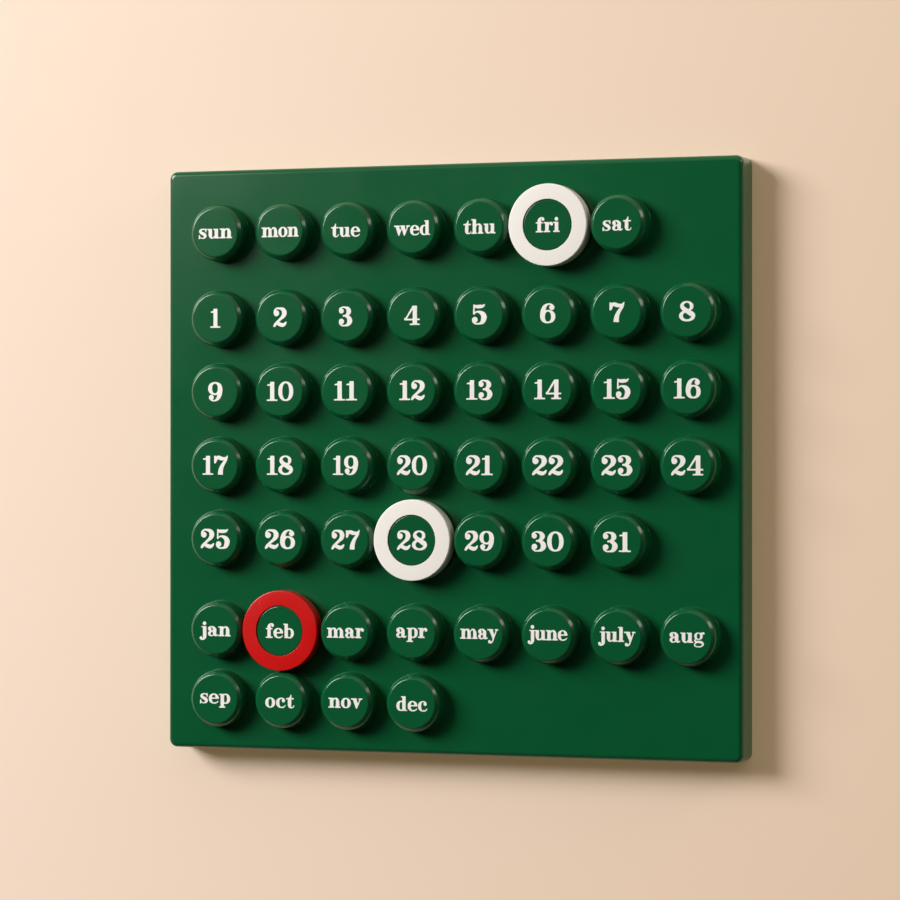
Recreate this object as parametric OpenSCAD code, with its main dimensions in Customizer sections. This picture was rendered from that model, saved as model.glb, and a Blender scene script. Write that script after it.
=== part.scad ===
// Perpetual wall calendar: one moulded panel with fifty round studs, and three
// marker rings that are pulled off and pushed on.
// Millimetres. +X right, +Z up, the front faces -Y, the wall is at y = 0.
// The origin is midway between the two keyhole entries, on the back plane.

/* [Panel] */
// overall width
panel_w = 309.6; // [300:0.1:330]
// overall height
panel_h = 300; // [296:0.5:320]
// depth from the wall to the flat front
panel_d = 18; // [14:0.5:26]
// thickness of the moulding
wall_t = 2.5; // [2:0.1:3.5]
// radius of the four upright corners
corner_r = 5; // [4:0.5:10]
// radius of the front edge
edge_r = 2; // [1:0.25:3]

/* [Grid] */
// columns, centre to centre
col_pitch = 36.16; // [36:0.02:37]
// centre of the first column, left of the middle
first_col = 124.3; // [122:0.1:126]
// height of the weekday row above the middle
row_days = 117; // [112:0.5:118]
// height of the first date row above the middle
row_date_1 = 72.8; // [70:0.1:76]
// step from one date row to the next
row_step = 37.95; // [36.5:0.05:38.2]
// depth of the first month row below the middle
row_month_1 = 88; // [84:0.1:89]
// depth of the second month row below the middle
row_month_2 = 123.7; // [123.6:0.1:126]

/* [Stud] */
// diameter of the straight side
stud_d = 28.8; // [28:0.1:29]
// diameter of the flat printed face
face_d = 24.7; // [22:0.1:25]
// height above the panel
stud_h = 9.8; // [9:0.1:12]
// widening at the foot
foot = 1; // [0.5:0.1:1.2]

/* [Ring] */
// outer diameter
ring_d = 41.2; // [38:0.1:41.4]
// thickness
ring_t = 8.3; // [7.5:0.1:8.4]
// radial clearance on the stud's straight side
ring_clear = 0.1; // [0.05:0.01:0.1]
// diameter of the front opening
lip_d = 26.1; // [25.6:0.1:26.6]
// how far the ring's face stands in front of the stud's face
proud = 0.5; // [0:0.1:1]
// small bevel on the ring's edges
ring_edge = 0.4; // [0.2:0.1:0.6]

/* [Hanging] */
// keyholes, centre to centre
key_gap = 200; // [150:1:210]
// diameter of the keyhole's entry
key_d = 9; // [8:0.5:9.5]
// width of the keyhole's slot
key_slot = 4.4; // [3.5:0.1:5]
// travel up the slot
key_rise = 7; // [5:0.5:7.5]
// thickness of the keyhole plate
key_t = 3; // [2:0.5:4]
// width of the keyhole hood
hood_w = 28; // [24:1:34]

/* [Hidden] */
$fn = 96;

stud_r = stud_d / 2;
face_r = face_d / 2;
bevel = stud_r - face_r;
front = panel_d;
top = panel_d + stud_h;
hood_low = panel_h / 2 - 20.5;
key_z = hood_low + 6;
gap = 0.3;

// seven rows of studs: [height, number of studs]
rows = [
    [row_days, 7],
    [row_date_1, 8],
    [row_date_1 - row_step, 8],
    [row_date_1 - 2 * row_step, 8],
    [row_date_1 - 3 * row_step, 7],
    [-row_month_1, 8],
    [-row_month_2, 4]
];

function col_x(c) = -first_col + c * col_pitch;

// builds lying down with z outward, then stands it on the wall
module stand() {
    translate([0, 0, -key_z]) rotate([90, 0, 0]) children();
}

// section of the slab: flat back, rounded front corners
module slab_section(w) {
    translate([-w / 2, 0]) square([w, panel_d - edge_r]);
    translate([-w / 2 + edge_r, 0]) square([w - 2 * edge_r, panel_d]);
    translate([-w / 2 + edge_r, panel_d - edge_r]) circle(edge_r);
    translate([w / 2 - edge_r, panel_d - edge_r]) circle(edge_r);
}

// one rounded corner of the slab, as a post
module corner_post() {
    rotate_extrude() {
        square([corner_r, panel_d - edge_r]);
        square([corner_r - edge_r, panel_d]);
        intersection() {
            translate([corner_r - edge_r, panel_d - edge_r]) circle(edge_r);
            square([corner_r, panel_d]);
        }
    }
}

module slab() {
    cx = panel_w / 2 - corner_r;
    cy = panel_h / 2 - corner_r;
    translate([-cx, 0, 0]) rotate([90, 0, 90]) linear_extrude(2 * cx) slab_section(panel_h);
    translate([0, cy, 0]) rotate([90, 0, 0]) linear_extrude(2 * cy) slab_section(panel_w);
    for (sx = [-1, 1], sy = [-1, 1]) translate([sx * cx, sy * cy, 0]) corner_post();
}

module tray_hollow() {
    w = panel_w - 2 * wall_t;
    h = panel_h - 2 * wall_t;
    r = corner_r - wall_t;
    d = panel_d - wall_t + 1;
    translate([-w / 2, -h / 2 + r, -1]) cube([w, h - 2 * r, d]);
    translate([-w / 2 + r, -h / 2, -1]) cube([w - 2 * r, h, d]);
    for (sx = [-1, 1], sy = [-1, 1])
        translate([sx * (w / 2 - r), sy * (h / 2 - r), -1]) cylinder(r = r, h = d);
}

module stud() {
    rotate_extrude() polygon([
        [0, front - 1], [stud_r + foot, front - 1], [stud_r + foot, front],
        [stud_r, front + foot], [stud_r, top - bevel], [face_r, top], [0, top]
    ]);
}

module stud_hollow() {
    translate([0, 0, front - wall_t - 1]) cylinder(r = stud_r - wall_t, h = stud_h + 1);
}

// a plate with a keyhole, held off the tray's floor by two cheeks
module hood() {
    h = panel_h / 2 - wall_t + 1 - hood_low;
    difference() {
        union() {
            translate([-hood_w / 2, hood_low, 0]) cube([hood_w, h, key_t]);
            for (x = [-hood_w / 2, hood_w / 2 - wall_t])
                translate([x, hood_low, 0]) cube([wall_t, h, panel_d - wall_t + 1]);
        }
        translate([0, key_z, -1]) cylinder(d = key_d, h = key_t + 2);
        translate([-key_slot / 2, key_z, -1]) cube([key_slot, key_rise, key_t + 2]);
        translate([0, key_z + key_rise, -1]) cylinder(d = key_slot, h = key_t + 2);
    }
}

module panel() {
    color([0.02, 0.27, 0.13]) stand() {
        difference() {
            union() {
                slab();
                for (r = rows, c = [0:1:r[1] - 1]) translate([col_x(c), r[0], 0]) stud();
            }
            tray_hollow();
            for (r = rows, c = [0:1:r[1] - 1]) translate([col_x(c), r[0], 0]) stud_hollow();
        }
        for (s = [-1, 1]) translate([s * key_gap / 2, 0, 0]) hood();
    }
}

// a ring on the stud in column c of row r
module ring(c, r) {
    ro = ring_d / 2;
    ri = stud_r + ring_clear;
    rl = lip_d / 2;
    z1 = top + proud;
    z0 = z1 - ring_t;
    // the inner cone runs level with the stud's bevel, one gap outside it
    shift = gap * sqrt(2);
    zc = top + face_r - ri + shift;
    zl = top + face_r - rl + shift;
    stand() translate([col_x(c), rows[r][0], 0]) rotate_extrude() polygon([
        [ri + ring_edge, z0], [ro - ring_edge, z0], [ro, z0 + ring_edge],
        [ro, z1 - ring_edge], [ro - ring_edge, z1], [rl, z1],
        [rl, zl], [ri, zc], [ri, z0 + ring_edge]
    ]);
}

module day_ring() { color([0.93, 0.90, 0.86]) ring(5, 0); }
module date_ring() { color([0.93, 0.90, 0.86]) ring(3, 4); }
module month_ring() { color([0.78, 0.05, 0.05]) ring(1, 5); }

panel();
day_ring();
date_ring();
month_ring();
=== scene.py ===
from math import atan2, copysign, cos, degrees, hypot, pi, radians, sin

import bpy
import numpy as np
from mathutils import Matrix, Vector
from mathutils.geometry import delaunay_2d_cdt


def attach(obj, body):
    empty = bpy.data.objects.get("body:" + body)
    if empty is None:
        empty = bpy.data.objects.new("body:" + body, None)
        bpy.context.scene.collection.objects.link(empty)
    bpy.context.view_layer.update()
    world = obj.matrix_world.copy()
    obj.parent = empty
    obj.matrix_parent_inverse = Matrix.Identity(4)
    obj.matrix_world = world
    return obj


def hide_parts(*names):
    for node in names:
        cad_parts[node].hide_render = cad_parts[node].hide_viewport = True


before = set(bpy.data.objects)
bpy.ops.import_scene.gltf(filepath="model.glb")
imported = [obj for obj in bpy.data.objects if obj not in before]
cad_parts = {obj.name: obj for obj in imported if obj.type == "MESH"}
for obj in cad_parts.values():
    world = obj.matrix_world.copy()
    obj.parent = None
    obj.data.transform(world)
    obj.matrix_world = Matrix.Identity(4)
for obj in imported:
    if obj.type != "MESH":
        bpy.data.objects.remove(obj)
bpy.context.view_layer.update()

# ---------------------------------------------------------------------------------------------------
# The object's own measures, in millimetres. x runs right and y up from the panel's middle, z runs out
# from the wall. place() takes these to the row frame in metres.
# ---------------------------------------------------------------------------------------------------
PANEL_W, PANEL_H, PANEL_D = 309.6, 300.0, 18.0
WALL = 2.5
CORNER, EDGE, RIM = 4.2, 2.7, 0.4
KEY_Z = 135.5
PITCH, FIRST = 36.16, -124.05
STUD_R, FACE_R, STUD_H = 14.5, 12.05, 9.8
FRONT = PANEL_D
TOP = PANEL_D + STUD_H
EDGE_IN = 1.0        # radius at the rim of the stud's face
SLOPE = 43.0         # the bevel outside the rim, in degrees from upright
BEVEL_R = 13.7       # where the bevel ends and the shoulder begins
LEAN = 3.0           # draft of the stud's side, in degrees
FOOT = 0.2           # radius of the fillet at the stud's foot
HOLLOW_R = STUD_R - WALL
FLOOR = PANEL_D - WALL
HOLLOW_TOP = TOP - WALL
HOOD_W, HOOD_LOW, KEY_T, KEY_GAP = 28.0, 129.5, 3.0, 200.0
KEY_D, KEY_SLOT, KEY_RISE = 9.0, 4.4, 7.0
ROUND = 72           # corners round a stud

ROWS = [  # height of the row above the panel's middle, then its labels
    (117.0, "sun mon tue wed thu fri sat"),
    (72.8, "1 2 3 4 5 6 7 8"),
    (34.85, "9 10 11 12 13 14 15 16"),
    (-3.1, "17 18 19 20 21 22 23 24"),
    (-41.05, "25 26 27 28 29 30 31"),
    (-88.0, "jan feb mar apr may june july aug"),
    (-123.7, "sep oct nov dec"),
]
STUDS = [(FIRST + PITCH * c, y, label) for y, labels in ROWS for c, label in enumerate(labels.split())]


def place(p):
    return (p[0] / 1000, -p[2] / 1000, (p[1] - KEY_Z) / 1000)


# ---------------------------------------------------------------------------------------------------
# Mesh making
# ---------------------------------------------------------------------------------------------------
class Shape:
    """Faces whose corners each keep a shading direction, so that flats stay flat and small radii stay round."""

    def __init__(self):
        self.points, self.known, self.faces, self.shade, self.parts = [], {}, [], [], []

    def at(self, p):
        key = (round(p[0] * 1000), round(p[1] * 1000), round(p[2] * 1000))
        if key not in self.known:
            self.known[key] = len(self.points)
            self.points.append(place(p))
        return self.known[key]

    def face(self, corners, normals, part=0):
        ids = [self.at(p) for p in corners]
        keep = [k for k in range(len(ids)) if ids[k] != ids[k - 1]]
        if len(keep) < 3 or len({ids[k] for k in keep}) < len(keep):
            return
        self.faces.append([ids[k] for k in keep])
        self.shade += [(normals[k][0], -normals[k][2], normals[k][1]) for k in keep]
        self.parts.append(part)

    def make(self, name, body, materials):
        mesh = bpy.data.meshes.new(name)
        mesh.from_pydata(self.points, [], self.faces)
        mesh.polygons.foreach_set("use_smooth", [True] * len(self.faces))
        for m in materials:
            mesh.materials.append(m)
        mesh.polygons.foreach_set("material_index", self.parts)
        mesh.update()
        mesh.normals_split_custom_set(self.shade)
        ob = bpy.data.objects.new(name, mesh)
        bpy.context.scene.collection.objects.link(ob)
        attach(ob, body)
        return ob


def arc(cx, cz, r, a0, a1, n, hollow=False):
    """Points (across, out, and their direction) along an arc. hollow turns the direction to the arc's centre."""
    s = -1 if hollow else 1
    out = []
    for k in range(n + 1):
        a = radians(a0 + (a1 - a0) * k / n)
        out.append((cx + r * cos(a), cz + r * sin(a), s * cos(a), s * sin(a)))
    return out


def line(p, q, n):
    return [(p[0], p[1], n[0], n[1]), (q[0], q[1], n[0], n[1])]


def revolve(shape, x, y, runs, n, inward=False, part=0):
    """Turns a section round the axis at (x, y). A run that ends at radius 0 closes in a fan."""
    ring = [(cos(2 * pi * k / n), sin(2 * pi * k / n)) for k in range(n)]
    for run in runs:
        for (r0, z0, u0, w0), (r1, z1, u1, w1) in zip(run, run[1:]):
            for k in range(n):
                c0, s0 = ring[k]
                c1, s1 = ring[(k + 1) % n]
                p = [(x + r0 * c0, y + r0 * s0, z0), (x + r0 * c1, y + r0 * s1, z0),
                     (x + r1 * c1, y + r1 * s1, z1), (x + r1 * c0, y + r1 * s0, z1)]
                d = [(u0 * c0, u0 * s0, w0), (u0 * c1, u0 * s1, w0), (u1 * c1, u1 * s1, w1), (u1 * c0, u1 * s0, w1)]
                if r1 == 0:
                    p, d = p[:3], d[:3]
                if inward:
                    p, d = p[::-1], d[::-1]
                shape.face(p, d, part)


def circle(x, y, r, n):
    return [(x + r * cos(2 * pi * k / n), y + r * sin(2 * pi * k / n)) for k in range(n)]


def corners(w, h, r, n):
    """A rounded rectangle as (corner centre, direction) pairs, from the right side round to the left."""
    out = []
    for sx, sy, a in ((1, 1, 0), (-1, 1, 90), (-1, -1, 180), (1, -1, 270)):
        out += [(sx * (w / 2 - r), sy * (h / 2 - r), cos(radians(a + 90 * k / n)), sin(radians(a + 90 * k / n))) for k in range(n + 1)]
    return out


def loop_at(path, r):
    return [(cx + r * dx, cy + r * dy) for cx, cy, dx, dy in path]


def sweep(shape, path, runs, inward=False, part=0):
    """Runs a section round a rounded rectangle. The section's first number is the radius at the corners."""
    n = len(path)
    for run in runs:
        for (r0, z0, u0, w0), (r1, z1, u1, w1) in zip(run, run[1:]):
            for k in range(n):
                ax, ay, adx, ady = path[k]
                bx, by, bdx, bdy = path[(k + 1) % n]
                p = [(ax + r0 * adx, ay + r0 * ady, z0), (bx + r0 * bdx, by + r0 * bdy, z0),
                     (bx + r1 * bdx, by + r1 * bdy, z1), (ax + r1 * adx, ay + r1 * ady, z1)]
                d = [(u0 * adx, u0 * ady, w0), (u0 * bdx, u0 * bdy, w0), (u1 * bdx, u1 * bdy, w1), (u1 * adx, u1 * ady, w1)]
                if inward:
                    p, d = p[::-1], d[::-1]
                shape.face(p, d, part)


def within(px, py, loop):
    """Which points lie inside a closed loop."""
    inside = np.zeros(len(px), bool)
    for (ax, ay), (bx, by) in zip(loop, loop[1:] + loop[:1]):
        if ay != by:
            inside ^= ((ay > py) != (by > py)) & (px < ax + (py - ay) * (bx - ax) / (by - ay))
    return inside


def fill(shape, outline, holes, z, out=True, part=0, extra=()):
    """A flat face at height z, inside outline and outside holes, that faces out from the wall or in towards it."""
    pts, edges = [], []
    for loop in [outline, *holes]:
        n = len(pts)
        pts += loop
        edges += [(n + k, n + (k + 1) % len(loop)) for k in range(len(loop))]
    pts += list(extra)
    got, _, tris, source, _, _ = delaunay_2d_cdt([Vector(p) for p in pts], edges, [], 1, 1e-5)
    where = [pts[s[0]] if s else (g[0], g[1]) for g, s in zip(got, source)]
    mid = np.array([[sum(where[i][a] for i in t) / 3 for a in (0, 1)] for t in tris])
    keep = within(mid[:, 0], mid[:, 1], outline)
    for hole in holes:
        keep &= ~within(mid[:, 0], mid[:, 1], hole)
    n = (0, 0, 1 if out else -1)
    for t, ok in zip(tris, keep):
        if ok:
            (ax, ay), (bx, by), (cx, cy) = (where[i] for i in t)
            ccw = (bx - ax) * (cy - ay) - (by - ay) * (cx - ax) > 0
            order = t if ccw == out else t[::-1]
            shape.face([(*where[i], z) for i in order], [n] * 3, part)


def wall(shape, a, b, z0, z1, n, part=0):
    """An upright rectangle from a to b. Its outer side is on the right, going from a to b, seen from the front."""
    shape.face([(*a, z0), (*b, z0), (*b, z1), (*a, z1)], [n] * 4, part)


# ---------------------------------------------------------------------------------------------------
# The panel: one moulding with its studs, an open back, and two hooded keyholes
# ---------------------------------------------------------------------------------------------------
def stud_section():
    # the face's rim, a bevel, then a convex shoulder that runs into the side
    rim = arc(FACE_R, TOP - EDGE_IN, EDGE_IN, SLOPE, 90, 5)
    lean, slope = radians(LEAN), radians(SLOPE)
    r0, z0 = rim[0][:2]
    z0 -= (BEVEL_R - r0) * cos(slope) / sin(slope)
    round_r = (STUD_R - BEVEL_R) / (cos(lean) - cos(slope))
    shoulder = arc(BEVEL_R - round_r * cos(slope), z0 - round_r * sin(slope), round_r, LEAN, SLOPE, 6)
    # the fillet at the foot touches the side and the panel
    r1, z1 = shoulder[0][:2]
    base = r1 + (z1 - FRONT) * sin(lean) / cos(lean)
    turn = pi / 2 - lean
    k = FOOT * sin(turn / 2) / cos(turn / 2)
    foot_arc = arc(base + k, FRONT + FOOT, FOOT, 270, 180 + LEAN, 3, hollow=True)
    return [foot_arc,
            line(foot_arc[-1][:2], (r1, z1), (cos(lean), sin(lean))),
            shoulder,
            line(shoulder[-1][:2], rim[0][:2], (cos(slope), sin(slope))),
            rim,
            line(rim[-1][:2], (0, TOP), (0, 1))]


def foot_radius():
    """How far from the stud's axis its fillet meets the panel."""
    return stud_section()[0][0][0]


def hollow_section():
    lip, end = 0.5, 1.0
    return [arc(HOLLOW_R + lip, FLOOR + lip, lip, 270, 180, 3),
            line((HOLLOW_R, FLOOR + lip), (HOLLOW_R, HOLLOW_TOP - end), (-1, 0)),
            arc(HOLLOW_R - end, HOLLOW_TOP - end, end, 0, 90, 4, hollow=True),
            line((HOLLOW_R - end, HOLLOW_TOP), (0, HOLLOW_TOP), (0, -1))]


def keyhole(x):
    """The outline of a keyhole, anticlockwise from the slot's right side."""
    a = atan2(((KEY_D / 2) ** 2 - (KEY_SLOT / 2) ** 2) ** 0.5, KEY_SLOT / 2)
    n, m = 32, 12
    entry = [(x + KEY_D / 2 * cos(t), KEY_Z + KEY_D / 2 * sin(t)) for t in (pi - a + (pi + 2 * a) * k / n for k in range(n + 1))]
    end = [(x + KEY_SLOT / 2 * cos(pi * k / m), KEY_Z + KEY_RISE + KEY_SLOT / 2 * sin(pi * k / m)) for k in range(m + 1)]
    return entry + end


def make_panel(materials):
    s = Shape()
    path = corners(PANEL_W, PANEL_H, CORNER, 12)
    # front face, round the studs' feet
    fill(s, loop_at(path, CORNER - EDGE), [circle(x, y, foot_radius(), ROUND) for x, y, _ in STUDS], FRONT)
    section = stud_section()
    for x, y, _ in STUDS:
        revolve(s, x, y, section, ROUND)
    # outer side, with the front edge's radius and a small one at the back
    sweep(s, path, [arc(CORNER - RIM, RIM, RIM, 270, 360, 3),
                    line((CORNER, RIM), (CORNER, FRONT - EDGE), (1, 0)),
                    arc(CORNER - EDGE, FRONT - EDGE, EDGE, 0, 90, 8)])
    # the open back
    w, h, r = PANEL_W / 2 - WALL, PANEL_H / 2 - WALL, CORNER - WALL
    inner = loop_at(corners(2 * w, 2 * h, r, 6), r)
    shade = [(dx, dy) for _, _, dx, dy in corners(2 * w, 2 * h, r, 6)]
    hoods = [(-KEY_GAP / 2 - HOOD_W / 2, -KEY_GAP / 2 + HOOD_W / 2), (KEY_GAP / 2 - HOOD_W / 2, KEY_GAP / 2 + HOOD_W / 2)]
    cut = 7  # the first point after the top edge starts, going anticlockwise from the right
    right_top, left_top = inner[:cut], inner[cut:]
    detour = []
    for a, b in reversed(hoods):
        detour += [(b, h), (b, HOOD_LOW), (a, HOOD_LOW), (a, h)]
    rim_inner = right_top + detour + left_top
    fill(s, loop_at(path, CORNER - RIM), [rim_inner, *(keyhole(x) for x in (-KEY_GAP / 2, KEY_GAP / 2))], 0, out=False)
    cheeks = []
    for a, b in reversed(hoods):
        cheeks += [(b, h), (b, HOOD_LOW), (b - WALL, HOOD_LOW), (b - WALL, h), (a + WALL, h), (a + WALL, HOOD_LOW), (a, HOOD_LOW), (a, h)]
    fill(s, right_top + cheeks + left_top, [circle(x, y, HOLLOW_R + 0.5, 48) for x, y, _ in STUDS], FLOOR, out=False)
    for k in range(len(inner)):
        a, b = inner[k], inner[(k + 1) % len(inner)]
        if k == cut - 1:
            stops = [a[0], *(p for lo, hi in reversed(hoods) for p in (hi, hi - WALL, lo + WALL, lo)), b[0]]
            for i, (p, q) in enumerate(zip(stops, stops[1:])):
                if i % 4 in (1, 3):
                    continue  # a cheek meets the side here
                low = KEY_T if i % 4 == 2 else 0
                s.face([(q, h, low), (p, h, low), (p, h, FLOOR), (q, h, FLOOR)], [(0, -1, 0)] * 4)
        else:
            na, nb = shade[k], shade[(k + 1) % len(shade)]
            s.face([(*b, 0), (*a, 0), (*a, FLOOR), (*b, FLOOR)], [(-nb[0], -nb[1], 0), (-na[0], -na[1], 0), (-na[0], -na[1], 0), (-nb[0], -nb[1], 0)])
    section = hollow_section()
    for x, y, _ in STUDS:
        revolve(s, x, y, section, 48, inward=True)
    for a, b in hoods:
        hole = keyhole((a + b) / 2)
        fill(s, [(a + WALL, HOOD_LOW), (b - WALL, HOOD_LOW), (b - WALL, h), (a + WALL, h)], [hole], KEY_T)
        wall(s, (a, h), (a, HOOD_LOW), 0, FLOOR, (-1, 0, 0))
        wall(s, (b, HOOD_LOW), (b, h), 0, FLOOR, (1, 0, 0))
        s.face([(a, HOOD_LOW, 0), (a + WALL, HOOD_LOW, 0), (a + WALL, HOOD_LOW, KEY_T), (a + WALL, HOOD_LOW, FLOOR), (a, HOOD_LOW, FLOOR)], [(0, -1, 0)] * 5)
        s.face([(b - WALL, HOOD_LOW, 0), (b, HOOD_LOW, 0), (b, HOOD_LOW, FLOOR), (b - WALL, HOOD_LOW, FLOOR), (b - WALL, HOOD_LOW, KEY_T)], [(0, -1, 0)] * 5)
        wall(s, (a + WALL, HOOD_LOW), (b - WALL, HOOD_LOW), 0, KEY_T, (0, -1, 0))
        wall(s, (a + WALL, HOOD_LOW), (a + WALL, h), KEY_T, FLOOR, (1, 0, 0))
        wall(s, (b - WALL, h), (b - WALL, HOOD_LOW), KEY_T, FLOOR, (-1, 0, 0))
        for p, q in zip(hole, hole[1:] + hole[:1]):
            ux, uy = q[1] - p[1], p[0] - q[0]
            k = hypot(ux, uy)
            wall(s, q, p, 0, KEY_T, (-ux / k, -uy / k, 0))
    return s.make("calendar_panel", "panel", materials)


# ---------------------------------------------------------------------------------------------------
# The marker rings
# ---------------------------------------------------------------------------------------------------
RING_R, RING_T, PROUD, CLEAR, LIP_R = 20.6, 8.3, 0.5, 0.1, 12.9


def ring_section():
    z1 = TOP + PROUD
    z0 = z1 - RING_T
    draft = sin(radians(LEAN)) / cos(radians(LEAN))
    z_bore = TOP - 3.3
    bore = STUD_R + CLEAR
    bore_low = bore + (z_bore - z0) * draft
    e, small = 0.5, 0.15
    # the top is very slightly domed: its surface is half a degree from flat at the lip and 2.8 at the outer edge
    edge = radians(87.2)
    outer = RING_R - e + e * cos(edge)
    dome = (outer - LIP_R - small) / (cos(edge) - cos(radians(89.5)))
    hub = outer - dome * cos(edge)
    drop = (dome - e) * (1 - sin(edge))
    return [line((bore_low + 0.4, z0), (RING_R - e, z0), (0, -1)),
            arc(RING_R - e, z0 + e, e, 270, 360, 5),
            line((RING_R, z0 + e), (RING_R, z1 - drop - e), (1, 0)),
            arc(RING_R - e, z1 - drop - e, e, 0, 87.2, 6),
            arc(hub, z1 - dome, dome, 87.2, 89.5, 3),
            arc(LIP_R + small, z1 - small, small, 90, 180, 4),
            line((LIP_R, z1 - small), (LIP_R, TOP + 0.1), (-1, 0)),
            line((LIP_R, TOP + 0.1), (bore - 0.25, TOP - 1.6), (-0.8, -0.6)),
            line((bore - 0.25, TOP - 1.6), (bore, z_bore), (-1, 0)),
            line((bore, z_bore), (bore_low, z0 + 0.4), (-1, 0)),
            arc(bore_low + 0.4, z0 + 0.4, 0.4, 180, 270, 4)]


def make_ring(name, label, body, material):
    x, y = next((x, y) for x, y, text in STUDS if text == label)
    s = Shape()
    revolve(s, x, y, ring_section(), 160)
    ob = s.make(name, body, [material])
    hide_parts(body)
    return ob


# ---------------------------------------------------------------------------------------------------
# The lettering: a bold slab-serif alphabet, drawn as strokes, bowls and feet
# ---------------------------------------------------------------------------------------------------
def box(x0, y0, x1, y1):
    return [(x0, y0), (x1, y0), (x1, y1), (x0, y1)]


def oval(cx, cy, rx, ry=None, n=28):
    ry = rx if ry is None else ry
    return [(cx + rx * cos(2 * pi * i / n), cy + ry * sin(2 * pi * i / n)) for i in range(n)]


def band(cx, cy, ox, oy, ix, iy, a0, a1, dx=0.0, dy=0.0, p=2.2, n=30):
    """Part of a letter's bowl, between an outer and an inner squarish ellipse, from a0 to a1 degrees."""
    def at(a, rx, ry, mx, my):
        c, s = cos(a), sin(a)
        return (mx + rx * copysign(abs(c) ** (2 / p), c), my + ry * copysign(abs(s) ** (2 / p), s))
    arc = [radians(a0 + (a1 - a0) * i / n) for i in range(n + 1)]
    return [at(a, ox, oy, cx, cy) for a in arc] + [at(a, ix, iy, cx + dx, cy + dy) for a in reversed(arc)]


def pen(points, n=9):
    """A stroke through (x, y, width) points, as one outline."""
    q = [points[0]] + list(points) + [points[-1]]
    line = []
    for i in range(1, len(q) - 2):
        a, b, c, d = q[i - 1], q[i], q[i + 1], q[i + 2]
        for k in range(n):
            t = k / n
            line.append(tuple(0.5 * (2 * b[j] + (c[j] - a[j]) * t + (2 * a[j] - 5 * b[j] + 4 * c[j] - d[j]) * t * t
                                     + (3 * b[j] - a[j] - 3 * c[j] + d[j]) * t ** 3) for j in range(3)))
    line.append(points[-1])
    left, right = [], []
    for i, (x, y, w) in enumerate(line):
        x0, y0, _ = line[max(i - 1, 0)]
        x1, y1, _ = line[min(i + 1, len(line) - 1)]
        k = hypot(x1 - x0, y1 - y0) or 1.0
        nx, ny = -(y1 - y0) / k * w / 2, (x1 - x0) / k * w / 2
        left.append((x + nx, y + ny))
        right.append((x - nx, y - ny))
    return left + right[::-1]


def foot(x0, x1, stem0, stem1, y=0.0, h=0.09, up=1, soft=0.07):
    """A bracketed slab under a stem that runs from stem0 to stem1, or over it with up=-1."""
    out = [box(x0, min(y, y + up * h), x1, max(y, y + up * h))]
    for s, e, lim in ((stem0, -1, x0), (stem1, 1, x1)):
        w = min(soft, abs(lim - s))
        if w > 0.01:
            out.append([(s - e * 0.02, y + up * h * 0.9), (s + e * w, y + up * h * 0.9), (s + e * w * 0.3, y + up * (h + soft * 0.3)),
                        (s, y + up * (h + soft)), (s - e * 0.02, y + up * (h + soft))])
    return out


# numerals, one unit high -------------------------------------------------------------------------

def n0():
    return [band(.425, .5, .425, .515, .195, .425, 0, 182), band(.425, .5, .425, .515, .195, .425, 180, 362)], .85


def n1():
    return ([box(.19, 0, .425, 1.0), [(.02, .79), (.20, .79), (.20, 1.0), (.34, 1.0), (.25, .925), (.13, .875), (.02, .862)]]
            + foot(.0, .60, .19, .425, h=.075, soft=.05)), .60


def n2():
    return [oval(.175, .715, .155), pen([(.055, .74, .07), (.075, .86, .085), (.19, .965, .09), (.36, 1.0 - .035, .115),
            (.55, .90, .215), (.625, .74, .27), (.575, .575, .225), (.43, .43, .15), (.24, .27, .13), (.10, .14, .12), (.045, .0, .10)]),
            pen([(.04, .045, .09), (.12, .155, .12), (.24, .185, .17), (.38, .125, .20), (.52, .09, .20), (.65, .14, .15), (.735, .265, .06)]),
            [(-.005, .0), (.09, .0), (.20, .10), (.10, .14)]], .79


def n3():
    return [oval(.155, .78, .135), pen([(.045, .81, .07), (.08, .90, .075), (.20, .972, .075), (.36, .97, .095), (.51, .90, .20),
            (.57, .76, .26), (.50, .61, .18), (.37, .535, .10), (.24, .52, .085)]),
            pen([(.24, .53, .075), (.38, .525, .11), (.56, .43, .22), (.625, .26, .28), (.54, .09, .20), (.38, .02, .09), (.21, .02, .08),
            (.08, .10, .075), (.045, .20, .07)]), oval(.16, .235, .145)], .77


def n4():
    return ([box(.46, 0, .70, 1.0), box(.0, .24, .855, .325), [(.0, .27), (.10, .27), (.50, .86), (.50, 1.0), (.46, 1.0)],
             [(.0, .24), (.0, .34), (.05, .40), (.10, .24)]] + foot(.30, .85, .46, .70, h=.075, soft=.04)), .855


def n5():
    return [pen([(.135, .995, .05), (.155, .93, .11), (.25, .90, .17), (.42, .90, .185), (.58, .925, .14), (.69, 1.02, .04)]),
            [(.085, 1.01), (.165, 1.01), (.15, .50), (.07, .50)],
            pen([(.105, .49, .07), (.16, .575, .075), (.29, .635, .085), (.45, .60, .17), (.595, .49, .26), (.64, .32, .285), (.56, .11, .22),
                 (.40, .02, .10), (.23, .015, .085), (.09, .09, .075), (.045, .20, .07)]), oval(.165, .225, .15)], .78


def n6():
    return [band(.42, .33, .405, .345, .165, .255, 0, 182, dx=.01), band(.42, .33, .405, .345, .165, .255, 180, 362, dx=.01),
            pen([(.125, .30, .25), (.135, .46, .255), (.17, .66, .245), (.26, .85, .19), (.40, .955, .10), (.54, .97, .075), (.665, .925, .075), (.73, .84, .07)]),
            oval(.64, .80, .14)], .825


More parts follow.
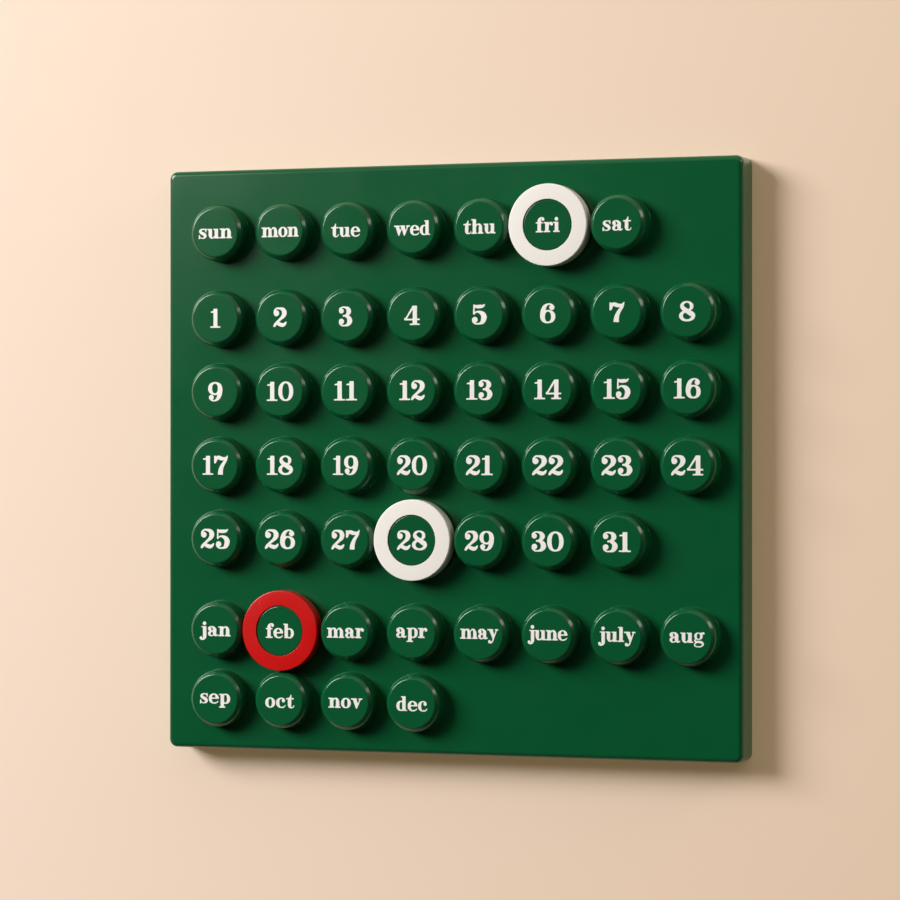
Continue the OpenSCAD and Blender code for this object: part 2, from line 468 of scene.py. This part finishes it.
def n7():
    return [box(.015, .60, .105, 1.0), pen([(.06, .86, .10), (.13, .90, .12), (.25, .915, .19), (.42, .86, .205), (.56, .845, .16), (.70, .90, .10), (.79, 1.02, .04)]),
            pen([(.785, 1.0, .04), (.70, .80, .13), (.57, .62, .17), (.45, .42, .215), (.385, .20, .265), (.37, .0, .295)]),
            [(.015, .60), (.105, .60), (.17, .74), (.22, .82), (.10, .90), (.015, .80)]], .82


def n8():
    return [band(.41, .755, .345, .26, .165, .175, -5, 185, p=2.1), band(.41, .755, .345, .26, .165, .175, 175, 365, p=2.1),
            band(.425, .27, .42, .285, .215, .18, -5, 185, p=2.1), band(.425, .27, .42, .285, .215, .18, 175, 365, p=2.1),
            pen([(.19, .70, .22), (.28, .60, .22), (.42, .51, .235), (.56, .42, .235), (.66, .32, .22)]),
            [(.30, .50), (.42, .58), (.60, .56), (.60, .48), (.44, .44)]], .845


def n9():
    polys, w = n6()
    return [[(w - x, 1.0 - y) for x, y in p] for p in polys], w


# letters, x-height one unit ----------------------------------------------------------------------
S = .37    # stem
H = .115   # slab


def stem(x0, y0, y1, w=S):
    return box(x0, y0, x0 + w, y1)


def la():
    return [oval(.28, .715, .185), pen([(.125, .76, .09), (.20, .90, .10), (.42, .965, .115), (.66, .90, .22), (.79, .72, .36), (.80, .50, .37), (.80, .28, .36),
            (.86, .11, .26), (1.02, .075, .15), (1.16, .16, .08)]),
            pen([(.78, .55, .14), (.56, .52, .13), (.36, .45, .20), (.235, .27, .31), (.31, .09, .20), (.48, .035, .12), (.68, .12, .12), (.80, .26, .14)])], 1.17


def lb():
    return ([stem(.13, 0, 1.47), box(-.01, 1.36, .3, 1.47), [(.13, 0), (.20, 0), (.42, .14), (.13, .20)],
             band(.66, .5, .50, .525, .17, .40, -95, 95, dx=-.005), [(.46, .83), (.46, .98), (.66, 1.025), (.70, .9)], pen([(.44, .78, .10), (.54, .93, .13), (.70, .965, .13)]),
             pen([(.44, .20, .10), (.54, .06, .13), (.70, .035, .13)])]), 1.17


def lc():
    return [band(.55, .5, .53, .53, .19, .42, 60, 300, p=2.1), pen([(.58, .975, .10), (.74, .955, .11), (.88, .86, .09), (.92, .75, .08)]), oval(.79, .72, .175),
            pen([(.60, .035, .14), (.80, .06, .13), (.93, .17, .10), (1.0, .29, .08)])], 1.02


def ld():
    return ([stem(.66, 0, 1.47), box(.52, 1.36, .9, 1.47), box(.66, 0, 1.20, H), band(.53, .5, .51, .525, .18, .40, 85, 275, dx=.005),
             pen([(.50, .965, .13), (.66, .93, .13), (.76, .80, .10)]), pen([(.50, .035, .13), (.66, .06, .13), (.76, .20, .10)])]), 1.19


def le():
    return [band(.56, .5, .54, .53, .20, .415, 8, 300, p=2.1), box(.30, .475, 1.08, .60), pen([(.60, .035, .14), (.82, .07, .13), (.97, .17, .10), (1.04, .28, .08)]),
            [(.74, .50), (1.09, .50), (1.10, .56), (1.06, .68), (.78, .62)]], 1.10


def lf():
    return ([stem(.17, 0, 1.18), pen([(.355, 1.10, .37), (.40, 1.26, .33), (.50, 1.41, .18), (.66, 1.46, .11), (.79, 1.42, .09), (.86, 1.33, .08)]), oval(.75, 1.28, .155),
             box(.0, .88, .74, 1.0)] + foot(.0, .76, .17, .54, h=H)), .80


def lg():
    return [band(.50, .66, .43, .365, .17, .27, -5, 185), band(.50, .66, .43, .365, .17, .27, 175, 365),
            pen([(.74, .90, .09), (.86, .985, .11), (1.0, 1.0, .13)]), oval(1.0, .94, .125), pen([(.20, .36, .10), (.14, .24, .15), (.22, .13, .17), (.42, .10, .21),
            (.72, .085, .24), (.92, -.02, .22), (.95, -.18, .17), (.78, -.34, .13), (.50, -.39, .11), (.22, -.34, .12), (.10, -.21, .14), (.20, -.04, .12), (.36, .06, .12)])], 1.12


def lh(w=1.30):
    return ([stem(.13, 0, 1.47), box(-.01, 1.36, .3, 1.47), stem(w - .50, 0, .66), pen([(.47, .76, .10), (.62, .92, .13), (.80, .945, .17), (.93, .85, .27), (w - .315, .62, .37)])]
            + foot(-.01, .60, .13, .50, h=H) + foot(w - .61, w, w - .50, w - .13, h=H)), w


def li():
    return [stem(.15, 0, 1.0), box(.0, .885, .3, 1.0), oval(.33, 1.30, .19)] + foot(.0, .67, .15, .52, h=H), .67


def lj():
    return [stem(.30, -.10, 1.0), box(.14, .885, .5, 1.0), oval(.48, 1.30, .19), pen([(.485, .0, .37), (.46, -.17, .34), (.35, -.32, .20), (.18, -.375, .12), (.05, -.33, .09), (-.02, -.24, .08)]),
            oval(.10, -.20, .155)], .72


def ll():
    return [stem(.13, 0, 1.47), box(-.01, 1.36, .3, 1.47)] + foot(-.01, .64, .13, .50, h=H), .64


def ln(w=1.30):
    return ([stem(.15, 0, 1.0), box(.0, .885, .3, 1.0), stem(w - .50, 0, .66), pen([(.49, .74, .10), (.63, .91, .13), (.80, .945, .17), (.93, .85, .27), (w - .315, .62, .37)])]
            + foot(.0, .62, .15, .52, h=H) + foot(w - .61, w, w - .50, w - .13, h=H)), w


def lm():
    w = 1.95
    return ([stem(.15, 0, 1.0), box(.0, .885, .3, 1.0), stem(.80, 0, .66), stem(1.45, 0, .66),
             pen([(.49, .74, .10), (.63, .91, .13), (.78, .945, .17), (.90, .85, .27), (.985, .62, .37)]),
             pen([(1.14, .74, .10), (1.28, .91, .13), (1.43, .945, .17), (1.55, .85, .27), (1.635, .62, .37)])]
            + foot(.0, .62, .15, .52, h=H) + foot(.70, 1.27, .80, 1.17, h=H) + foot(1.34, w, 1.45, 1.82, h=H)), w


def lo():
    return [band(.55, .5, .53, .53, .19, .415, 0, 182, p=2.1), band(.55, .5, .53, .53, .19, .415, 180, 362, p=2.1)], 1.10


def lp():
    return ([stem(.15, -.42, 1.0), box(.0, .885, .3, 1.0), band(.68, .5, .50, .525, .17, .40, -95, 95, dx=-.005), pen([(.46, .78, .10), (.56, .93, .13), (.72, .965, .13)]),
             pen([(.46, .20, .10), (.56, .06, .13), (.72, .035, .13)])] + foot(.0, .68, .15, .52, y=-.42, h=H)), 1.19


def lr():
    return ([stem(.15, 0, 1.0), box(.0, .885, .3, 1.0), pen([(.49, .66, .12), (.58, .85, .15), (.72, .955, .13), (.86, .93, .10), (.94, .84, .08)]), oval(.83, .80, .155)]
            + foot(.0, .70, .15, .52, h=H)), .98


def ls():
    return [pen([(.80, .70, .08), (.74, .86, .09), (.58, .965, .10), (.38, .955, .14), (.22, .85, .24), (.22, .68, .28), (.40, .55, .30), (.62, .43, .32), (.72, .26, .29), (.62, .09, .18),
            (.44, .03, .11), (.26, .08, .09), (.13, .20, .09), (.09, .32, .08)]), box(.74, .66, .85, 1.03), box(.04, -.03, .155, .36),
            [(.64, .93), (.80, .93), (.80, 1.0), (.64, .99)]], .91


def lt():
    return [stem(.17, .24, 1.0), [(.17, .95), (.54, .95), (.54, 1.36), (.46, 1.36), (.40, 1.18), (.30, 1.06), (.17, 1.0)], box(.0, .88, .80, 1.0),
            pen([(.355, .34, .37), (.39, .14, .30), (.52, .035, .15), (.68, .05, .11), (.79, .15, .09), (.83, .28, .08)])], .85


def lu():
    return ([stem(.13, .30, 1.0), box(-.01, .885, .3, 1.0), stem(.78, 0, 1.0), box(.62, .885, .9, 1.0), box(.8, 0, 1.30, H),
             pen([(.315, .38, .37), (.36, .16, .28), (.50, .045, .16), (.66, .08, .13), (.80, .24, .10)])]), 1.30


def lv():
    return ([[(.12, 1.0), (.53, 1.0), (.74, .36), (.60, .0), (.50, -.02)], [(.50, -.02), (.62, -.02), (1.06, 1.0), (.94, 1.0), (.60, .22)],
             box(-.02, .885, .62, 1.0), box(.78, .885, 1.20, 1.0)]), 1.18


def lw():
    return ([[(.12, 1.0), (.52, 1.0), (.70, .38), (.58, .0), (.46, -.02)], [(.46, -.02), (.58, -.02), (.92, .84), (.86, 1.0)],
             [(.74, 1.0), (1.14, 1.0), (1.32, .38), (1.20, .0), (1.08, -.02)], [(1.08, -.02), (1.20, -.02), (1.64, 1.0), (1.52, 1.0), (1.16, .25)],
             box(-.02, .885, .62, 1.0), box(.66, .885, 1.22, 1.0), box(1.36, .885, 1.78, 1.0)]), 1.76


def ly():
    return ([[(.12, 1.0), (.53, 1.0), (.76, .38), (.66, .04), (.56, .0)], pen([(1.02, 1.0, .13), (.82, .50, .13), (.66, .08, .14), (.54, -.20, .15), (.40, -.35, .14), (.24, -.39, .10), (.12, -.34, .08)]),
             oval(.20, -.24, .155), box(-.02, .885, .62, 1.0), box(.80, .885, 1.20, 1.0)]), 1.18


GLYPHS = {"0": n0, "1": n1, "2": n2, "3": n3, "4": n4, "5": n5, "6": n6, "7": n7, "8": n8, "9": n9, "a": la, "b": lb, "c": lc, "d": ld, "e": le, "f": lf, "g": lg,
          "h": lh, "i": li, "j": lj, "l": ll, "m": lm, "n": ln, "o": lo, "p": lp, "r": lr, "s": ls, "t": lt, "u": lu, "v": lv, "w": lw, "y": ly}


def drawn(name):
    """The glyph's outlines: its strokes joined into one shape on a fine grid, with corners softened as printing ink does."""
    polygons, width = GLYPHS[name]()
    cell = 0.0095 if name.isdigit() else 0.0185
    xs = [p[0] for poly in polygons for p in poly]
    ys = [p[1] for poly in polygons for p in poly]
    x0, y0 = min(xs) - 6 * cell, min(ys) - 6 * cell
    nx, ny = int((max(xs) - x0) / cell) + 7, int((max(ys) - y0) / cell) + 7
    gx, gy = x0 + cell * np.arange(nx), y0 + cell * np.arange(ny)
    ink = np.zeros((ny, nx), bool)
    for poly in polygons:
        turns = np.zeros((ny, nx), int)
        for (ax, ay), (bx, by) in zip(poly, poly[1:] + poly[:1]):
            if ay == by:
                continue
            rows = (ay > gy) != (by > gy)
            cross = ax + (gy - ay) * (bx - ax) / (by - ay)
            turns += (rows[:, None] & (gx[None, :] < cross[:, None])) * (1 if by > ay else -1)
        ink |= turns != 0
    tap = np.exp(-0.5 * (np.arange(-4, 5) / 1.15) ** 2)
    tap /= tap.sum()
    field = ink.astype(float)
    for axis in (0, 1):
        field = np.apply_along_axis(lambda v: np.convolve(v, tap, "same"), axis, field)
    # the outline is where the softened field passes one half
    links = {}

    def cut(i, j, vertical):
        a = field[j, i]
        b = field[j + 1, i] if vertical else field[j, i + 1]
        t = (0.5 - a) / (b - a)
        return (gx[i], gy[j] + t * cell) if vertical else (gx[i] + t * cell, gy[j])

    on = field > 0.5
    mixed = np.argwhere((on[:-1, :-1] | on[1:, :-1] | on[:-1, 1:] | on[1:, 1:])
                        & ~(on[:-1, :-1] & on[1:, :-1] & on[:-1, 1:] & on[1:, 1:]))
    for j, i in mixed:
        a, b, c, d = on[j, i], on[j, i + 1], on[j + 1, i + 1], on[j + 1, i]
        low, right, high, left = (i, j, 0), (i + 1, j, 1), (i, j + 1, 0), (i, j, 1)
        # each link keeps the ink on its left
        sides = []
        if a != b:
            sides.append((low, a))
        if b != c:
            sides.append((right, b))
        if c != d:
            sides.append((high, c))
        if d != a:
            sides.append((left, d))
        if len(sides) == 2:
            start = next(s for s, inked in sides if inked)
            links[start] = next(s for s, inked in sides if not inked)
        else:
            for k in range(4):
                if sides[k][1]:
                    links[sides[k][0]] = sides[k - 1][0]
    loops = []
    while links:
        first, loop = next(iter(links)), []
        at = first
        while at in links:
            loop.append(cut(at[0], at[1], at[2] == 1))
            at = links.pop(at)
        loops.append(thin(loop, 0.12 * cell))
    return [p for p in loops if len(p) > 3], width, (x0, y0, cell, on)


def thin(loop, slack):
    """Leaves out points that lie within slack of the line between their neighbours."""
    pts = np.array(loop)
    far = int(np.argmax(((pts - pts[0]) ** 2).sum(1)))
    keep = {0, far}
    stack = [(0, far), (far, len(pts))]
    while stack:
        a, b = stack.pop()
        if b - a < 2:
            continue
        p, q = pts[a], pts[b % len(pts)]
        d = q - p
        k = hypot(*d) or 1.0
        off = abs((pts[a + 1:b, 0] - p[0]) * d[1] - (pts[a + 1:b, 1] - p[1]) * d[0]) / k
        m = int(np.argmax(off))
        if off[m] > slack:
            keep.add(a + 1 + m)
            stack += [(a, a + 1 + m), (a + 1 + m, b)]
    return [loop[k] for k in sorted(keep)]


def faces_of(loops):
    """Triangles that fill a glyph, as indices into its points."""
    pts, edges = [], []
    for loop in loops:
        n = len(pts)
        pts += loop
        edges += [(n + k, n + (k + 1) % len(loop)) for k in range(len(loop))]
    _, _, tris, source, _, _ = delaunay_2d_cdt([Vector(p) for p in pts], edges, [], 1, 1e-7)
    tris = [tuple(source[i][0] if source[i] else -1 for i in t) for t in tris]
    tris = [t for t in tris if -1 not in t and len(set(t)) == 3]
    mx = np.array([sum(pts[i][0] for i in t) / 3 for t in tris])
    my = np.array([sum(pts[i][1] for i in t) / 3 for t in tris])
    inside = np.zeros(len(tris), bool)
    for loop in loops:
        inside ^= within(mx, my, loop)
    out = []
    for t, ok in zip(tris, inside):
        if ok:
            (ax, ay), (bx, by), (cx, cy) = (pts[i] for i in t)
            out.append(t if (bx - ax) * (cy - ay) - (by - ay) * (cx - ax) > 0 else t[::-1])
    return pts, out, edges


# the width of each label's print, in millimetres
WIDTHS = {"sun": 18.7, "mon": 20.6, "tue": 15.9, "wed": 19.5, "thu": 17.1, "fri": 12.6, "sat": 15.0, "jan": 17.4, "feb": 15.6, "mar": 20.3,
          "apr": 16.8, "may": 20.3, "june": 20.9, "july": 19.4, "aug": 17.9, "sep": 16.9, "oct": 16.1, "nov": 18.6, "dec": 16.6,
          "1": 5.6, "5": 8.0, "8": 8.2, "11": 12.6, "13": 13.9, "14": 14.2, "15": 14.0, "16": 13.8, "18": 14.4, "19": 13.8, "20": 16.2,
          "21": 14.4, "22": 16.3, "23": 16.1, "25": 16.3, "26": 16.7, "27": 15.4, "28": 16.2, "29": 15.6, "30": 16.8, "31": 14.5}


def make_print(material):
    """The labels, as thin fields of ink on the studs' flat faces."""
    s = Shape()
    glyphs = {}
    low, high = TOP - 0.02, TOP + 0.035
    for x, y, label in STUDS:
        digits = label.isdigit()
        unit, space = (9.75, 0.05) if digits else (5.0, 0.03)
        if digits:
            base = y - 0.5 * unit - 0.05
        else:
            up, down = set(label) & set("bdfhlt"), set(label) & set("gjpy")
            base = y - (3.3 if label == "jan" else 2.5 if up and down else 2.35 if down else 3.7 if up else 3.0)
        for ch in label:
            if ch not in glyphs:
                loops, width, _ = drawn(ch)
                glyphs[ch] = (faces_of(loops), width)
        xs, advance = [], 0.0
        for ch in label:
            (pts, _, _), width = glyphs[ch]
            xs += [advance + min(p[0] for p in pts), advance + max(p[0] for p in pts)]
            advance += width + space
        natural = (max(xs) - min(xs)) * unit
        wish = WIDTHS.get(label, natural)
        squeeze = min(1.05, max(0.95, wish / natural))
        gaps = len(label) - 1
        more = (wish - natural * squeeze) / gaps if gaps else 0.0
        at = x + 0.15 - wish / 2 - min(xs) * unit * squeeze if gaps else x + 0.15 - (max(xs) + min(xs)) / 2 * unit * squeeze
        for ch in label:
            (pts, tris, edges), width = glyphs[ch]
            put = [(at + p[0] * unit * squeeze, base + p[1] * unit) for p in pts]
            for t in tris:
                s.face([(*put[i], high) for i in t], [(0, 0, 1)] * 3)
                s.face([(*put[i], low) for i in t[::-1]], [(0, 0, -1)] * 3)
            for a, b in edges:
                p, q = put[a], put[b]
                k = hypot(q[0] - p[0], q[1] - p[1]) or 1.0
                n = ((q[1] - p[1]) / k, (p[0] - q[0]) / k, 0)
                s.face([(*p, low), (*q, low), (*q, high), (*p, high)], [n] * 4)
            at += (width + space) * unit * squeeze + more
    return s.make("calendar_print", "panel", [material])


# ---------------------------------------------------------------------------------------------------
# Materials
# ---------------------------------------------------------------------------------------------------
class Nodes:
    def __init__(self, name):
        self.mat = bpy.data.materials.new(name)
        self.mat.use_nodes = True
        self.tree = self.mat.node_tree
        self.tree.nodes.clear()
        self.out = self.add("ShaderNodeOutputMaterial")
        self.coord = self.add("ShaderNodeTexCoord").outputs["Object"]

    def add(self, kind, **settings):
        node = self.tree.nodes.new(kind)
        for key, value in settings.items():
            setattr(node, key, value)
        return node

    def link(self, a, b):
        self.tree.links.new(a, b)
        return b

    def noise(self, scale, detail=2.0, roughness=0.5, stretch=None):
        node = self.add("ShaderNodeTexNoise")
        node.inputs["Scale"].default_value = scale
        node.inputs["Detail"].default_value = detail
        node.inputs["Roughness"].default_value = roughness
        if stretch:
            mapping = self.add("ShaderNodeMapping")
            mapping.inputs["Scale"].default_value = stretch
            self.link(self.coord, mapping.inputs["Vector"])
            self.link(mapping.outputs[0], node.inputs["Vector"])
        else:
            self.link(self.coord, node.inputs["Vector"])
        return node.outputs["Fac"]

    def span(self, value, low, high, start=0.3, end=0.7):
        node = self.add("ShaderNodeMapRange")
        for socket, number in zip(("From Min", "From Max", "To Min", "To Max"), (start, end, low, high)):
            node.inputs[socket].default_value = number
        self.link(value, node.inputs["Value"])
        return node.outputs[0]

    def blend(self, value, a, b, start=0.3, end=0.7):
        node = self.add("ShaderNodeMix", data_type="RGBA")
        node.inputs[6].default_value = (*a, 1)
        node.inputs[7].default_value = (*b, 1)
        self.link(self.span(value, 0, 1, start, end), node.inputs[0])
        return node.outputs[2]

    def bump(self, value, distance, strength=1.0, under=None):
        node = self.add("ShaderNodeBump")
        node.inputs["Strength"].default_value = strength
        node.inputs["Distance"].default_value = distance
        self.link(value, node.inputs["Height"])
        if under is not None:
            self.link(under, node.inputs["Normal"])
        return node.outputs[0]

    def shader(self, color, rough, bump=None, **plain):
        node = self.add("ShaderNodeBsdfPrincipled")
        self.link(color, node.inputs["Base Color"])
        self.link(rough, node.inputs["Roughness"])
        if bump is not None:
            self.link(bump, node.inputs["Normal"])
        for key, value in plain.items():
            node.inputs[key.replace("_", " ")].default_value = value
        self.link(node.outputs[0], self.out.inputs["Surface"])
        return self.mat


def moulded(name, a, b, rough, grain, **plain):
    """Injection-moulded plastic: a slow drift in its colour, hazier and shinier patches, and a very fine grain."""
    n = Nodes(name)
    drift = n.noise(7.0, 3.0, 0.55)
    haze = n.noise(38.0, 4.0, 0.6)
    fine = n.noise(1500.0, 2.0, 0.6)
    wave = n.noise(90.0, 1.0, 0.4)
    bump = n.bump(wave, 0.00004, 0.35)
    bump = n.bump(fine, grain, 0.5, bump)
    return n.shader(n.blend(drift, a, b), n.span(haze, *rough), bump, **plain)


green = moulded("green_plastic", (0.0022, 0.0930, 0.0300), (0.0026, 0.0990, 0.0322), (0.165, 0.205), 0.000003)
white = moulded("white_plastic", (0.940, 0.915, 0.875), (0.965, 0.940, 0.900), (0.26, 0.33), 0.000004)
red = moulded("red_plastic", (0.585, 0.0030, 0.0028), (0.62, 0.0038, 0.0034), (0.23, 0.29), 0.000003)


def ink():
    n = Nodes("print_ink")
    tone = n.noise(160.0, 3.0, 0.6)
    return n.shader(n.blend(tone, (0.90, 0.885, 0.87), (0.95, 0.94, 0.93)), n.span(n.noise(700.0), 0.42, 0.55), n.bump(n.noise(2200.0), 0.000003, 0.5))


# ---------------------------------------------------------------------------------------------------
# Pieces
# ---------------------------------------------------------------------------------------------------
panel = make_panel([green])
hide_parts("panel")
make_print(ink())
make_ring("day_marker_ring", "fri", "day_ring", white)
make_ring("date_marker_ring", "28", "date_ring", white)
make_ring("month_marker_ring", "feb", "month_ring", red)

# ---------------------------------------------------------------------------------------------------
# Camera, backdrop and light
# ---------------------------------------------------------------------------------------------------
camera = bpy.data.cameras.new("camera")
camera.sensor_width = 36.0
camera.lens = 142.84
camera.clip_start, camera.clip_end = 0.05, 60.0
camera_object = bpy.data.objects.new("camera", camera)
bpy.context.scene.collection.objects.link(camera_object)
yaw, pitch, roll = radians(20), radians(0.251), radians(0.025)
forward = Vector((-sin(yaw) * cos(pitch), cos(yaw) * cos(pitch), sin(pitch)))
right = Vector((cos(yaw), sin(yaw), 0))
up = right.cross(forward)
right, up = right * cos(roll) + up * sin(roll), up * cos(roll) - right * sin(roll)
turn = Matrix((right, up, -forward)).transposed().to_4x4()
camera_object.matrix_world = Matrix.Translation((0.6205, -1.7187, -0.1388)) @ turn
bpy.context.scene.camera = camera_object
bpy.context.scene.view_settings.view_transform = "Standard"

CENTRE = Vector((0, 0, -KEY_Z / 1000))


def wall_paint_and_painted_light():
    """Painted plaster, with painted light: its colour is lighter and cooler at the left and darker and warmer towards
    the right, where the key's light falls off, and it glows faintly to lift its shadows. Seen from behind, it isn't
    there.
    """
    n = Nodes("wall_paint_and_painted_light")
    skin = n.bump(n.noise(420.0, 3.0, 0.6), 0.00006, 0.35)
    place_x = n.add("ShaderNodeSeparateXYZ")
    n.link(n.coord, place_x.inputs[0])
    # painted shade: lighter and cooler at the left, darker and warmer towards the right
    color = n.blend(place_x.outputs[0], WALL_A, WALL_B, -0.35, 0.30)
    front = n.add("ShaderNodeBsdfPrincipled")
    n.link(color, front.inputs["Base Color"])
    # painted fill light: a faint warm glow that lifts the wall's shadows, though the wall is no lamp
    front.inputs["Emission Color"].default_value = (1.0, 0.66, 0.30, 1)
    front.inputs["Emission Strength"].default_value = 0.145
    n.link(n.span(n.noise(30.0), 0.55, 0.65), front.inputs["Roughness"])
    n.link(skin, front.inputs["Normal"])
    front.inputs["Specular IOR Level"].default_value = 0.25
    clear = n.add("ShaderNodeBsdfTransparent")
    pick = n.add("ShaderNodeMixShader")
    side = n.add("ShaderNodeNewGeometry")
    n.link(side.outputs["Backfacing"], pick.inputs[0])
    n.link(front.outputs[0], pick.inputs[1])
    n.link(clear.outputs[0], pick.inputs[2])
    n.link(pick.outputs[0], n.out.inputs["Surface"])
    return n.mat


# the wall's colour at the left and at the right: the change between them is painted shade
WALL_A, WALL_B = (0.80, 0.668, 0.590), (0.748, 0.596, 0.490)
mesh = bpy.data.meshes.new("wall")
reach, back = 4.0, 0.0004
mesh.from_pydata([(-reach, back, -reach), (reach, back, -reach), (reach, back, reach), (-reach, back, reach)], [], [(0, 1, 2, 3)])
mesh.materials.append(wall_paint_and_painted_light())
backdrop = bpy.data.objects.new("wall", mesh)
bpy.context.scene.collection.objects.link(backdrop)
backdrop.visible_shadow = False


def area(name, where, size, watts, color, target=CENTRE, shape="DISK", size_y=None):
    """A soft light that faces the target, and doesn't light what lies behind it."""
    light = bpy.data.lights.new(name, "AREA")
    light.shape, light.size, light.energy, light.color = shape, size, watts, color
    if size_y:
        light.size_y = size_y
    ob = bpy.data.objects.new(name, light)
    ob.location = where
    ob.rotation_mode = "QUATERNION"
    ob.rotation_quaternion = (Vector(target) - Vector(where)).to_track_quat("-Z", "Y")
    bpy.context.scene.collection.objects.link(ob)
    return ob


def toward(x, y, z, distance):
    d = Vector((x, y, z)).normalized()
    return CENTRE + d * distance


area("key", toward(-0.7098, -0.5948, 0.3774, 3.2), 2.02, 126, (1.0, 0.975, 0.95), shape="ELLIPSE", size_y=1.35)
area("right_card", toward(0.844, -0.19, 0.505, 1.6), 0.5, 3.0, (1.0, 0.95, 0.88))
area("left_card", (-1.39, -2.26, 0.43), 0.35, 3.2, (1.0, 0.97, 0.94), target=(-0.15, 0, 0))
area("back_light", (0.0, 1.3, CENTRE.z), 0.22, 7, (1.0, 0.96, 0.92))

# the room: dark in front, warm and light above, a little light on the right
world = bpy.data.worlds.new("studio")
bpy.context.scene.world = world
world.use_nodes = True
tree = world.node_tree


def node(kind, *values, **settings):
    n = tree.nodes.new(kind)
    for key, value in settings.items():
        setattr(n, key, value)
    for k, v in enumerate(values):
        if isinstance(v, bpy.types.NodeSocket):
            tree.links.new(v, n.inputs[k])
        elif v is not None:
            n.inputs[k].default_value = v
    return n.outputs[0]


axes = tree.nodes.new("ShaderNodeSeparateXYZ")
tree.links.new(tree.nodes.new("ShaderNodeTexCoord").outputs["Generated"], axes.inputs[0])
above = node("ShaderNodeMapRange", axes.outputs[2], 0.14, 0.66, 0.0, 0.62, interpolation_type="SMOOTHSTEP")
over = node("ShaderNodeMapRange", axes.outputs[0], -0.75, 0.0, 0.15, 1.0, interpolation_type="SMOOTHSTEP")
beside = node("ShaderNodeMapRange", axes.outputs[0], 0.55, 0.95, 0.0, 0.15, interpolation_type="SMOOTHSTEP")
level_side = node("ShaderNodeMapRange", axes.outputs[2], -0.25, 0.20, 0.0, 1.0, interpolation_type="SMOOTHSTEP")
above = node("ShaderNodeMath", above, over, operation="MULTIPLY")
beside = node("ShaderNodeMath", beside, level_side, operation="MULTIPLY")
beneath = node("ShaderNodeMapRange", axes.outputs[2], -0.05, -0.55, 0.0, 0.05, interpolation_type="SMOOTHSTEP")
level = node("ShaderNodeMath", node("ShaderNodeMath", above, beside, operation="ADD"), 0.008, operation="ADD")
level = node("ShaderNodeMath", level, beneath, operation="ADD")
room = tree.nodes["Background"]
room.inputs[0].default_value = (1.0, 0.86, 0.72, 1)
tree.links.new(level, room.inputs[1])
seen = node("ShaderNodeBackground", (0.86, 0.76, 0.66, 1), 0.9)
path_kind = tree.nodes.new("ShaderNodeLightPath")
choice = node("ShaderNodeMixShader", path_kind.outputs["Is Camera Ray"], room.outputs[0], seen)
tree.links.new(choice, tree.nodes["World Output"].inputs[0])
